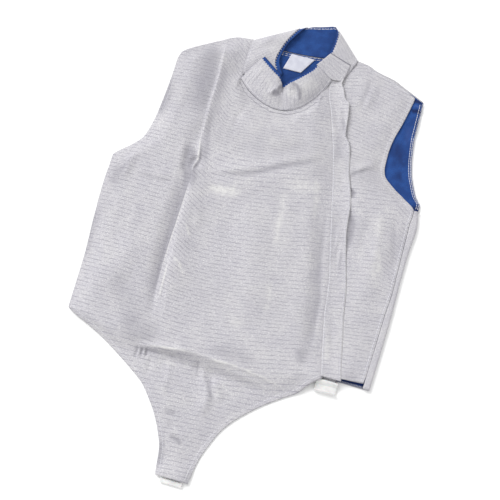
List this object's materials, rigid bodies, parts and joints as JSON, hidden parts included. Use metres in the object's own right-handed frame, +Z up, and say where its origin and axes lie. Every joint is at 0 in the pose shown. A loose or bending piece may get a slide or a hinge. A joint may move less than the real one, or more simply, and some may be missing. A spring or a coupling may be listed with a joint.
{
  "type": "fencing lame",
  "caption": "Sleeveless foil fencing lame laid flat on its back: silver conductive cloth, blue lining, stand collar, side placket, groin tongue with a ring and a hem hook.",
  "frame": {"origin": "bottom centre of the garment's box, on the surface that it lies on", "axes": "+Y from the end of the tongue to the neck, +Z up out of the front, +X towards the wearer's left"},
  "size_m": [0.5095, 0.8052, 0.0189],
  "materials": {
    "lame_cloth": "woven, dull metallic sheen",
    "blue_lining": "plain matte",
    "label_cloth": "smooth satin ribbon",
    "white_webbing": "woven tape",
    "white_plastic": "smooth moulded"
  },
  "bodies": {
    "garment": {"back_panel": "lame_cloth", "front_panel": "lame_cloth", "side_panel": "lame_cloth", "placket": "lame_cloth", "zip": "lame_cloth", "collar_back": "lame_cloth", "collar_front": "lame_cloth", "collar_tab": "lame_cloth", "back_lining": "blue_lining", "collar_back_lining": "blue_lining", "collar_front_lining": "blue_lining", "neck_label": "label_cloth", "back_strap": "white_webbing", "tongue_loop": "white_webbing"},
    "hook": {"strap_hook": "white_plastic"},
    "ring": {"tongue_ring": "white_plastic"}
  },
  "joints": [
    {"name": "hook_swing", "type": "hinge", "parent": "garment", "child": "hook", "pos_m": [0.179, -0.191, 0.004], "axis": [1, 0, 0], "range_deg": [-8, 100]},
    {"name": "ring_swing", "type": "hinge", "parent": "garment", "child": "ring", "pos_m": [-0.007, -0.3932, 0.0023], "axis": [1, 0, 0], "range_deg": [-10, 110]}
  ]
}
